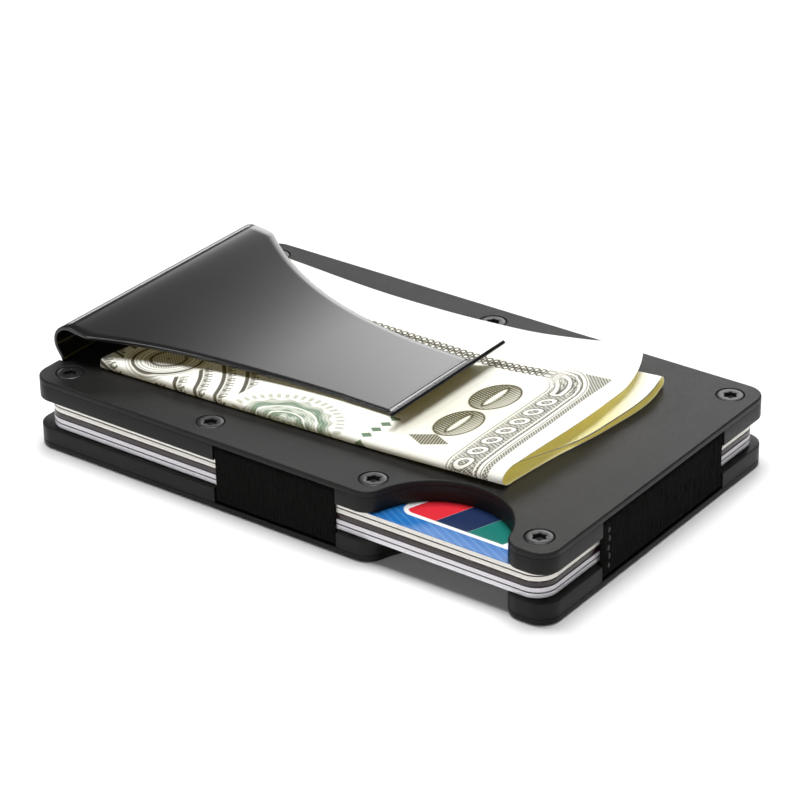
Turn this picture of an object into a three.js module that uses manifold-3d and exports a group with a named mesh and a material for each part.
// Minimalist card wallet: two screwed aluminium half shells held together by elastic straps,
// with a spring-steel money clip on the top half, five cards between the halves and one
// folded note under the clip.
// Millimetres, +Z up. X runs along the wallet, from the open end with the clip (-X) to the
// strapped end (+X). The thumb notch is on the -Y side. The origin is the centre of the
// underside.

import * as THREE from "three";
import { mergeVertices } from "three/addons/utils/BufferGeometryUtils.js";
import Module from "manifold-3d";

const wasm = await Module();
wasm.setup();

// ---- Driving dimensions ------------------------------------------------------------------

const CARD = { length: 85.6, width: 53.98, thickness: 0.76, corner: 3.18, count: 5 };

const LENGTH = 88.4;
const WIDTH = 55.5;
const CORNER = 3.1;
const CARD_GAP = 4.3; // between the two halves, holding the card stack
const HALF_THICKNESS = 3.25; // one cover and one frame
const COVER_THICKNESS = 0.85;
const SEAM = 0.03; // between a cover and its frame
const EDGE_CHAMFER = 0.18;
const THICKNESS = 2 * HALF_THICKNESS + CARD_GAP;

const NOTCH = { x: 26.5, radius: 10.6, depth: 10.05, lead: 3.0 }; // lead: the convex entry radius

const SCREW = {
  headRadius: 1.92,
  headDepth: 0.8,
  rim: 0.08,
  shaftRadius: 0.93,
  length: 2.95,
  sink: 0.03, // the head's face under the cover's face
  point: 0.2, // the chamfer at the shaft's end
  socketRadius: 0.88,
  socketDepth: 0.62,
  clearance: 0.05,
  sides: 18,
};
const SCREW_EDGE = 4.0; // from a long edge to the screw centres
const SCREWS = [
  [-40.2, -1],
  [-14.4, -1],
  [13.6, -1],
  [40.2, -1],
  [40.2, 1],
  [0, 1],
  [-40.2, 1],
]; // x, and the side of the wallet: -1 on the notch side

const STRAP_THICKNESS = 0.7;
const STRAP_PLAY = 0.04; // between a strap and the channel it lies in
const CROSS_STRAP = { width: 20.5, x: -0.4, bend: 0.1 };
const END_STRAP = { width: 30, y: 0.4, innerEnd: 12.0, hem: 3.0, bend: 0.1 };

const CLIP = {
  sheet: 0.55,
  halfWidth: 21.3, // of the bend
  neck: 9.6, // half width at the crease
  tip: 13.6, // half width of the flared lip
  flangeHalfWidth: 25.6,
  flangeEnd: -35.4,
  flangeInset: 1.2, // from the wallet's end to the flange's edge
  flangeCorner: 1.5,
  legInset: 0.5, // from the wallet's end to the middle of the leg
  bendX: -44.95, // the furthest point of the bend, where the clip flexes
  bendZ: THICKNESS + 2.65,
  topX: -42.3,
  topZ: THICKNESS + 5.2,
  straightX: -13.1,
  straightZ: THICKNESS + 1.65,
  creaseX: 5.35,
  creaseZ: THICKNESS + 1.13,
  tipX: 9.0,
  tipZ: THICKNESS + 3.55,
};

// How far the control points of the clip's side view lie from the points named above.
const CLIP_PULL = {
  rootTurn: 0.75,
  rootLean: 0.05,
  rootDrop: 0.2,
  legLean: 0.1,
  legRise: 0.7,
  bendDown: 1.3,
  bendUp: 1.6,
  topBack: 1.5,
  topOn: 5.1,
  topDrop: 0.1,
  straightBack: 15,
  straightLift: 0.75,
  sag: 0.05,
};

// Plan of the clip's arm, measured from the points named above.
const ARM = {
  shoulder: 3.4, // past the top of the bend, where the sides start to draw in
  shoulderOn: 9,
  shoulderIn: 3.4,
  waistX: -22,
  waist: 1.6,
  neckX: -3,
  neckFlare: 0.15,
  flareOn: 1.9,
  flareOut: 0.1,
  lipBack: 0.5,
  lipOut: 1.2,
  lipEdge: 0.35,
};

const NOTE = {
  length: 67,
  width: 41,
  x: -3.6,
  y: 1.4,
  turn: 3.6, // degrees, about +Z
  thickness: 0.62,
  flatLength: 50, // the stretch from the folded end that the clip presses flat
  openEnd: 2.6, // thickness at the open end, where the folds spring apart
  endTurn: 0.6, // the rounded lower edge of the open end
  endLean: 1.2,
  rise: 8, // how far from the open end the folds start to spring apart
  riseShare: 1.5, // of the flat thickness, at that place
};

const CORNER_STEPS = 6; // straight steps in a rounded corner
const LEG_STEPS = 7; // straight steps in each curve of the clip's leg
const ARM_STEPS = 9; // straight steps in each curve of the clip's arm
const SAME_POINT = 1e-3;
const MITRE_LIMIT = 0.5;

// ---- Helpers -----------------------------------------------------------------------------

// A closed geometry as a manifold-3d solid.
function solid(geometry) {
  const bare = geometry.index ? geometry.toNonIndexed() : geometry.clone();
  bare.deleteAttribute("normal");
  bare.deleteAttribute("uv");
  const merged = mergeVertices(bare, 1e-4);
  return new wasm.Manifold(
    new wasm.Mesh({
      numProp: 3,
      vertProperties: merged.attributes.position.array,
      triVerts: new Uint32Array(merged.index.array),
    }),
  );
}

function geometryOf(body) {
  const mesh = body.getMesh();
  const geometry = new THREE.BufferGeometry();
  geometry.setAttribute("position", new THREE.BufferAttribute(mesh.vertProperties, 3));
  geometry.setIndex(new THREE.BufferAttribute(mesh.triVerts, 1));
  geometry.computeVertexNormals();
  return geometry;
}

// A block between two corners.
function block(low, high) {
  const size = high.map((value, i) => value - low[i]);
  const geometry = new THREE.BoxGeometry(...size);
  return solid(geometry.translate(...low.map((value, i) => value + size[i] / 2)));
}

// A profile of [radius, z] points turned about the Z axis.
function turned(profile, sides) {
  const points = profile.map(([radius, z]) => new THREE.Vector2(radius, z));
  return solid(new THREE.LatheGeometry(points, sides).rotateX(Math.PI / 2));
}

function upright(radius, low, high, sides) {
  const profile = [
    [0, low],
    [radius, low],
    [radius, high],
    [0, high],
  ];
  return turned(profile, sides);
}

// The same outline with straight steps only, and no point given twice.
function stepped(curve, steps, into = new THREE.Shape()) {
  const points = curve.getPoints(steps);
  const kept = points.filter((point, i) => point.distanceTo(points.at(i - 1)) > SAME_POINT);
  into.setFromPoints(kept);
  if (curve.holes) {
    into.holes = curve.holes.map((hole) => stepped(hole, steps, new THREE.Path()));
  }
  return into;
}

// Extrudes a shape drawn in the plane of two axes along the third, from `start` for `depth`.
function extrudeAlongX(shape, start, depth) {
  const outline = stepped(shape, CORNER_STEPS);
  const geometry = new THREE.ExtrudeGeometry(outline, { depth, bevelEnabled: false });
  const toYZ = new THREE.Matrix4().makeBasis(
    new THREE.Vector3(0, 1, 0),
    new THREE.Vector3(0, 0, 1),
    new THREE.Vector3(1, 0, 0),
  );
  return solid(geometry.applyMatrix4(toYZ).translate(start, 0, 0));
}

function extrudeAlongY(shape, start, depth) {
  const outline = stepped(shape, CORNER_STEPS);
  const geometry = new THREE.ExtrudeGeometry(outline, { depth, bevelEnabled: false });
  const toXZ = new THREE.Matrix4().makeBasis(
    new THREE.Vector3(1, 0, 0),
    new THREE.Vector3(0, 0, 1),
    new THREE.Vector3(0, -1, 0),
  );
  return solid(geometry.applyMatrix4(toXZ).translate(0, start + depth, 0));
}

// Extrudes a shape upwards, between two heights.
function extrudeUp(shape, low, high) {
  const outline = stepped(shape, CORNER_STEPS);
  const depth = high - low;
  const geometry = new THREE.ExtrudeGeometry(outline, { depth, bevelEnabled: false });
  return solid(geometry.translate(0, 0, low));
}

function roundedRectangle(x0, y0, x1, y1, radius, into = new THREE.Shape()) {
  into.moveTo(x0 + radius, y0);
  into.lineTo(x1 - radius, y0);
  into.absarc(x1 - radius, y0 + radius, radius, -Math.PI / 2, 0);
  into.lineTo(x1, y1 - radius);
  into.absarc(x1 - radius, y1 - radius, radius, 0, Math.PI / 2);
  into.lineTo(x0 + radius, y1);
  into.absarc(x0 + radius, y1 - radius, radius, Math.PI / 2, Math.PI);
  into.lineTo(x0, y0 + radius);
  into.absarc(x0 + radius, y0 + radius, radius, Math.PI, 1.5 * Math.PI);
  return into;
}

// The outline of a half shell: a rounded rectangle with the thumb notch in its -Y side. The
// notch is an arc that runs into the edge through two small convex arcs.
function shellOutline() {
  const edge = WIDTH / 2;
  const end = LENGTH / 2;
  const centreY = -edge + NOTCH.depth - NOTCH.radius;
  const rise = -edge + NOTCH.lead - centreY;
  const reach = Math.sqrt((NOTCH.radius + NOTCH.lead) ** 2 - rise ** 2);
  const lean = Math.atan2(rise, reach);
  const leadY = -edge + NOTCH.lead;
  const shape = new THREE.Shape();
  shape.moveTo(-end + CORNER, -edge);
  shape.lineTo(NOTCH.x - reach, -edge);
  shape.absarc(NOTCH.x - reach, leadY, NOTCH.lead, -Math.PI / 2, -lean);
  shape.absarc(NOTCH.x, centreY, NOTCH.radius, Math.PI - lean, lean, true);
  shape.absarc(NOTCH.x + reach, leadY, NOTCH.lead, Math.PI + lean, 1.5 * Math.PI);
  shape.lineTo(end - CORNER, -edge);
  shape.absarc(end - CORNER, -edge + CORNER, CORNER, -Math.PI / 2, 0);
  shape.absarc(end - CORNER, edge - CORNER, CORNER, 0, Math.PI / 2);
  shape.absarc(-end + CORNER, edge - CORNER, CORNER, Math.PI / 2, Math.PI);
  shape.absarc(-end + CORNER, -edge + CORNER, CORNER, Math.PI, 1.5 * Math.PI);
  return shape;
}

// A plate with both of its rims chamfered, from z = low to z = high.
function plate(shape, low, high, chamfer) {
  const geometry = new THREE.ExtrudeGeometry(stepped(shape, CORNER_STEPS), {
    depth: high - low - 2 * chamfer,
    bevelThickness: chamfer,
    bevelSize: chamfer,
    bevelOffset: -chamfer,
    bevelSegments: 1,
  });
  return solid(geometry.translate(0, 0, low + chamfer));
}

function screwPlaces() {
  return SCREWS.map(([x, side]) => [x, side * (WIDTH / 2 - SCREW_EDGE)]);
}

// ---- One half shell ----------------------------------------------------------------------
// A half is drawn with z = 0 at its outer face and z growing inwards. The bottom half is used
// as drawn, and the top half is its mirror image.

const FRAME_LOW = COVER_THICKNESS + SEAM;
const STRAP_LOW = FRAME_LOW + STRAP_PLAY;
const CHANNEL_DEPTH = STRAP_THICKNESS + 2 * STRAP_PLAY;
const CROSS_FROM = CROSS_STRAP.x - CROSS_STRAP.width / 2;
const CROSS_TO = CROSS_STRAP.x + CROSS_STRAP.width / 2;
const END_FROM = END_STRAP.y - END_STRAP.width / 2;
const END_TO = END_STRAP.y + END_STRAP.width / 2;
const CUT = 5; // how far a cutting block reaches past what it cuts
const SIDE_PLAY = 0.25; // between a strap's edges and the channel's walls
const SOCKET_SIDES = 6;
const CLIP_NOTCH_DEPTH = 1.25; // in X, where the clip's leg comes up through the top cover

function countersink() {
  const { headRadius, headDepth, rim, shaftRadius, clearance, sides } = SCREW;
  const profile = [
    [0, -CUT],
    [headRadius + clearance, -CUT],
    [headRadius + clearance, rim],
    [shaftRadius + clearance, headDepth + clearance],
    [shaftRadius + clearance, FRAME_LOW + CUT],
    [0, FRAME_LOW + CUT],
  ];
  return turned(profile, sides);
}

function coverSolid(hasClip) {
  let body = plate(shellOutline(), 0, COVER_THICKNESS, EDGE_CHAMFER);
  const hole = countersink();
  for (const [x, y] of screwPlaces()) {
    body = body.subtract(hole.translate([x, y, 0]));
  }
  if (hasClip) {
    const reach = CLIP.halfWidth + SIDE_PLAY;
    const inner = -LENGTH / 2 + CLIP_NOTCH_DEPTH;
    body = body.subtract(block([-LENGTH / 2 - CUT, -reach, -CUT], [inner, reach, CUT]));
  }
  return body;
}

// The channels lie in the frame's outer side, and the recesses in its rim let the straps run
// round to the other half flush with the edges.
function strapChannels() {
  const floor = FRAME_LOW + CHANNEL_DEPTH;
  const x0 = CROSS_FROM - SIDE_PLAY;
  const x1 = CROSS_TO + SIDE_PLAY;
  const y0 = END_FROM - SIDE_PLAY;
  const y1 = END_TO + SIDE_PLAY;
  const edge = WIDTH / 2;
  const end = LENGTH / 2;
  const hemFloor = floor + STRAP_THICKNESS;
  return [
    block([x0, -edge - CUT, 0], [x1, edge + CUT, floor]),
    block([x0, -edge - CUT, 0], [x1, -edge + CHANNEL_DEPTH, CUT]),
    block([x0, edge - CHANNEL_DEPTH, 0], [x1, edge + CUT, CUT]),
    block([END_STRAP.innerEnd - SIDE_PLAY, y0, 0], [end + CUT, y1, floor]),
    block([end - CHANNEL_DEPTH, y0, 0], [end + CUT, y1, CUT]),
    block(
      [END_STRAP.innerEnd - SIDE_PLAY, y0, 0],
      [END_STRAP.innerEnd + END_STRAP.hem + SIDE_PLAY, y1, hemFloor],
    ),
  ];
}

function frameSolid(hasClip) {
  let body = plate(shellOutline(), FRAME_LOW, HALF_THICKNESS, EDGE_CHAMFER);
  for (const channel of strapChannels()) {
    body = body.subtract(channel);
  }
  const tapped = upright(SCREW.shaftRadius + SCREW.clearance, 0, CUT, SCREW.sides);
  for (const [x, y] of screwPlaces()) {
    body = body.subtract(tapped.translate([x, y, 0]));
  }
  if (hasClip) {
    const depth = FRAME_LOW + CLIP.sheet + 2 * STRAP_PLAY;
    const half = CLIP.flangeHalfWidth + SIDE_PLAY;
    const inner = CLIP.flangeEnd + SIDE_PLAY;
    body = body.subtract(block([-LENGTH / 2 - CUT, -half, 0], [inner, half, depth]));
  }
  return body;
}

function screwSolid() {
  const { headRadius, headDepth, rim, shaftRadius, length, sink, point, sides } = SCREW;
  const profile = [
    [0, sink],
    [headRadius - rim, sink],
    [headRadius, sink + rim],
    [shaftRadius, headDepth],
    [shaftRadius, length - point],
    [shaftRadius - point, length],
    [0, length],
  ];
  const socket = upright(SCREW.socketRadius, -CUT, sink + SCREW.socketDepth, SOCKET_SIDES);
  return turned(profile, sides).subtract(socket);
}

// ---- Straps ------------------------------------------------------------------------------

const STRAP_TOP = THICKNESS - STRAP_LOW; // the outer faces of both straps
const STRAP_SIDE = 0.03; // how far a strap stays inside the wallet's edges

function crossStrapSolid() {
  const edge = WIDTH / 2 - STRAP_SIDE;
  const t = STRAP_THICKNESS;
  const band = roundedRectangle(-edge, STRAP_LOW, edge, STRAP_TOP, CROSS_STRAP.bend + t);
  const inside = new THREE.Path();
  roundedRectangle(-edge + t, STRAP_LOW + t, edge - t, STRAP_TOP - t, CROSS_STRAP.bend, inside);
  band.holes.push(inside);
  let body = extrudeAlongX(band, CROSS_FROM, CROSS_STRAP.width);
  const eyelet = upright(SCREW.shaftRadius + SIDE_PLAY, 0, THICKNESS, SCREW.sides);
  for (const [x, y] of screwPlaces()) {
    if (x > CROSS_FROM && x < CROSS_TO) {
      body = body.subtract(eyelet.translate([x, y, 0]));
    }
  }
  return body;
}

// A U over the +X end, whose two inner ends are folded double into a hem that locks in its
// pocket.
function endStrapSolid() {
  const t = STRAP_THICKNESS;
  const end = LENGTH / 2 - STRAP_SIDE;
  const outer = END_STRAP.bend + t;
  const { innerEnd, hem, bend } = END_STRAP;
  const shape = new THREE.Shape();
  shape.moveTo(innerEnd, STRAP_LOW);
  shape.lineTo(end - outer, STRAP_LOW);
  shape.absarc(end - outer, STRAP_LOW + outer, outer, -Math.PI / 2, 0);
  shape.absarc(end - outer, STRAP_TOP - outer, outer, 0, Math.PI / 2);
  shape.lineTo(innerEnd, STRAP_TOP);
  shape.lineTo(innerEnd, STRAP_TOP - 2 * t);
  shape.lineTo(innerEnd + hem, STRAP_TOP - 2 * t);
  shape.lineTo(innerEnd + hem, STRAP_TOP - t);
  shape.absarc(end - outer, STRAP_TOP - outer, bend, Math.PI / 2, 0, true);
  shape.absarc(end - outer, STRAP_LOW + outer, bend, 0, -Math.PI / 2, true);
  shape.lineTo(innerEnd + hem, STRAP_LOW + t);
  shape.lineTo(innerEnd + hem, STRAP_LOW + 2 * t);
  shape.lineTo(innerEnd, STRAP_LOW + 2 * t);
  return extrudeAlongY(shape, END_FROM, END_STRAP.width);
}

// ---- Money clip --------------------------------------------------------------------------

const FLANGE_Z = THICKNESS - FRAME_LOW - STRAP_PLAY - CLIP.sheet / 2; // middle of its sheet
const FLEX_GAP = 0.06; // at the split in the bend

// The closed outline of a sheet that follows a centre line in the XZ plane.
function sheetOutline(path, steps) {
  const points = [];
  for (const curve of path.curves) {
    const count = curve.isLineCurve ? 1 : steps;
    for (let i = points.length ? 1 : 0; i <= count; i += 1) {
      points.push(curve.getPoint(i / count));
    }
  }
  const half = CLIP.sheet / 2;
  const left = [];
  const right = [];
  points.forEach((point, i) => {
    const before = points[Math.max(i - 1, 0)];
    const after = points[Math.min(i + 1, points.length - 1)];
    const into = point.clone().sub(before).normalize();
    const out = after.clone().sub(point).normalize();
    const along = into.clone().add(out).normalize();
    const normal = new THREE.Vector2(-along.y, along.x);
    const run = into.lengthSq() > 0 ? into : out;
    const facing = Math.abs(normal.dot(new THREE.Vector2(-run.y, run.x)));
    const stretch = half / Math.max(facing, MITRE_LIMIT);
    left.push(point.clone().addScaledVector(normal, stretch));
    right.push(point.clone().addScaledVector(normal, -stretch));
  });
  return new THREE.Shape([...right, ...left.reverse()]);
}

function clipBaseSolid() {
  const { rootTurn, rootLean, rootDrop, legLean, legRise, bendDown } = CLIP_PULL;
  const { bendX, bendZ } = CLIP;
  const legX = -LENGTH / 2 + CLIP.legInset;
  const legTop = THICKNESS + legRise;
  const path = new THREE.Path();
  path.moveTo(CLIP.flangeEnd, FLANGE_Z);
  path.lineTo(legX + rootTurn, FLANGE_Z);
  path.quadraticCurveTo(legX + rootLean, FLANGE_Z, legX, THICKNESS - rootDrop);
  path.bezierCurveTo(legX - legLean, legTop, bendX, bendZ - bendDown, bendX, bendZ - FLEX_GAP);
  const leg = extrudeAlongY(sheetOutline(path, LEG_STEPS), -CLIP.halfWidth, 2 * CLIP.halfWidth);
  const flangeLow = FLANGE_Z - CLIP.sheet / 2;
  const flangeShape = roundedRectangle(
    -LENGTH / 2 + CLIP.flangeInset,
    -CLIP.flangeHalfWidth,
    CLIP.flangeEnd,
    CLIP.flangeHalfWidth,
    CLIP.flangeCorner,
  );
  const flange = extrudeUp(flangeShape, flangeLow, flangeLow + CLIP.sheet);
  let body = leg.add(flange);
  const hole = upright(SCREW.shaftRadius + SIDE_PLAY, 0, THICKNESS, SCREW.sides);
  for (const [x, y] of screwPlaces()) {
    if (x < CLIP.flangeEnd) {
      body = body.subtract(hole.translate([x, y, 0]));
    }
  }
  return body;
}

// Plan of the arm: full width at the bend, two hollow sides down to the neck, and a lip that
// flares out again at its very end.
function armPlan() {
  const { halfWidth, neck, tip, bendX, topX, creaseX, tipX } = CLIP;
  const shoulder = topX + ARM.shoulder;
  const pullX = shoulder + ARM.shoulderOn;
  const pullY = halfWidth - ARM.shoulderIn;
  const waist = neck + ARM.waist;
  const neckY = neck + ARM.neckFlare;
  const flare = [creaseX + ARM.flareOn, neck + ARM.flareOut];
  const lip = [tipX - ARM.lipBack, neck + ARM.lipOut];
  const lipX = tipX - ARM.lipEdge;
  const shape = new THREE.Shape();
  shape.moveTo(bendX - CUT, -halfWidth);
  shape.lineTo(shoulder, -halfWidth);
  shape.bezierCurveTo(pullX, -pullY, ARM.waistX, -waist, ARM.neckX, -neckY);
  shape.lineTo(creaseX, -neck);
  shape.bezierCurveTo(flare[0], -flare[1], lip[0], -lip[1], lipX, -tip);
  shape.lineTo(tipX + CUT, -tip);
  shape.lineTo(tipX + CUT, tip);
  shape.lineTo(lipX, tip);
  shape.bezierCurveTo(lip[0], lip[1], flare[0], flare[1], creaseX, neck);
  shape.lineTo(ARM.neckX, neckY);
  shape.bezierCurveTo(ARM.waistX, waist, pullX, pullY, shoulder, halfWidth);
  shape.lineTo(bendX - CUT, halfWidth);
  return shape;
}

function clipArmSolid() {
  const { bendX, bendZ, topX, topZ, straightX, straightZ, creaseX, creaseZ, tipX, tipZ } = CLIP;
  const { bendUp, topBack, topOn, topDrop, straightBack, straightLift, sag } = CLIP_PULL;
  const fallX = straightX - straightBack;
  const fallZ = straightZ + straightLift;
  const path = new THREE.Path();
  path.moveTo(bendX, bendZ + FLEX_GAP);
  path.bezierCurveTo(bendX, bendZ + bendUp, topX - topBack, topZ, topX, topZ);
  path.bezierCurveTo(topX + topOn, topZ - topDrop, fallX, fallZ, straightX, straightZ);
  path.quadraticCurveTo((straightX + creaseX) / 2, straightZ - sag, creaseX, creaseZ);
  path.lineTo(tipX, tipZ);
  const outline = sheetOutline(path, ARM_STEPS);
  const strip = extrudeAlongY(outline, -CLIP.halfWidth, 2 * CLIP.halfWidth);
  return strip.intersect(extrudeUp(armPlan(), THICKNESS, tipZ + THICKNESS));
}

// ---- Cards and note ----------------------------------------------------------------------

const CARD_SHIFT = 0.3; // the cards sit against the end strap

function cardSolid(index) {
  const { length, width, thickness, corner, count } = CARD;
  const play = (CARD_GAP - count * thickness) / (count + 1);
  const low = HALF_THICKNESS + play + index * (thickness + play);
  const shape = roundedRectangle(
    CARD_SHIFT - length / 2,
    -width / 2,
    CARD_SHIFT + length / 2,
    width / 2,
    corner,
  );
  return extrudeUp(shape, low, low + thickness);
}

// The note's outer form: flat under the clip, and thicker towards its open end.
function noteSolid() {
  const { length, width, thickness, flatLength, openEnd, endTurn, endLean } = NOTE;
  const riseX = length / 2 - NOTE.rise;
  const riseZ = NOTE.riseShare * thickness;
  const shape = new THREE.Shape();
  shape.moveTo(-length / 2, 0);
  shape.lineTo(length / 2 - endTurn, 0);
  shape.lineTo(length / 2, endTurn);
  shape.lineTo(length / 2 - endLean, openEnd);
  shape.quadraticCurveTo(riseX, riseZ, flatLength - length / 2, thickness);
  shape.lineTo(-length / 2, thickness);
  const rest = THICKNESS + STRAP_PLAY;
  const geometry = geometryOf(extrudeAlongY(shape, -width / 2, width));
  geometry.rotateZ(THREE.MathUtils.degToRad(NOTE.turn));
  return solid(geometry.translate(NOTE.x, NOTE.y, rest));
}

// ---- Assembly ----------------------------------------------------------------------------

const anodised = { color: 0x3b3a39, roughness: 0.42, metalness: 0.85 };
const blackSteel = { color: 0x1c1c1d, roughness: 0.35, metalness: 0.9 };
const clipSteel = { color: 0x2c2c2e, roughness: 0.3, metalness: 0.9 };
const elastic = { color: 0x111112, roughness: 0.95, metalness: 0 };
const paper = { color: 0xe9e8d4, roughness: 0.85, metalness: 0 };
const cardEdge = { color: 0xe8e6e0, roughness: 0.45, metalness: 0 };
const cardDark = { color: 0x3a1c22, roughness: 0.45, metalness: 0 };
const cardBlue = { color: 0x2f7fc4, roughness: 0.35, metalness: 0 };

function piece(name, body, finish) {
  const mesh = new THREE.Mesh(geometryOf(body), new THREE.MeshStandardMaterial(finish));
  mesh.name = name;
  return mesh;
}

function halfShell(prefix, hasClip) {
  const group = new THREE.Group();
  group.add(piece(prefix + "_cover", coverSolid(hasClip), anodised));
  group.add(piece(prefix + "_frame", frameSolid(hasClip), anodised));
  screwPlaces().forEach(([x, y], i) => {
    const screw = piece(prefix + "_screw_" + (i + 1), screwSolid(), blackSteel);
    screw.position.set(x, y, 0);
    group.add(screw);
  });
  return group;
}

function wallet() {
  const group = new THREE.Group();
  group.add(halfShell("bottom", false));
  const top = halfShell("top", true);
  top.scale.z = -1;
  top.position.z = THICKNESS;
  group.add(top);
  group.add(piece("cross_strap", crossStrapSolid(), elastic));
  group.add(piece("end_strap", endStrapSolid(), elastic));
  group.add(piece("clip_base", clipBaseSolid(), clipSteel));
  group.add(piece("clip_arm", clipArmSolid(), clipSteel));
  const finishes = [cardEdge, cardEdge, cardDark, cardEdge, cardBlue];
  finishes.slice(0, CARD.count).forEach((finish, i) => {
    group.add(piece("card_" + (i + 1), cardSolid(i), finish));
  });
  group.add(piece("note", noteSolid(), paper));
  return group;
}

export default wallet();
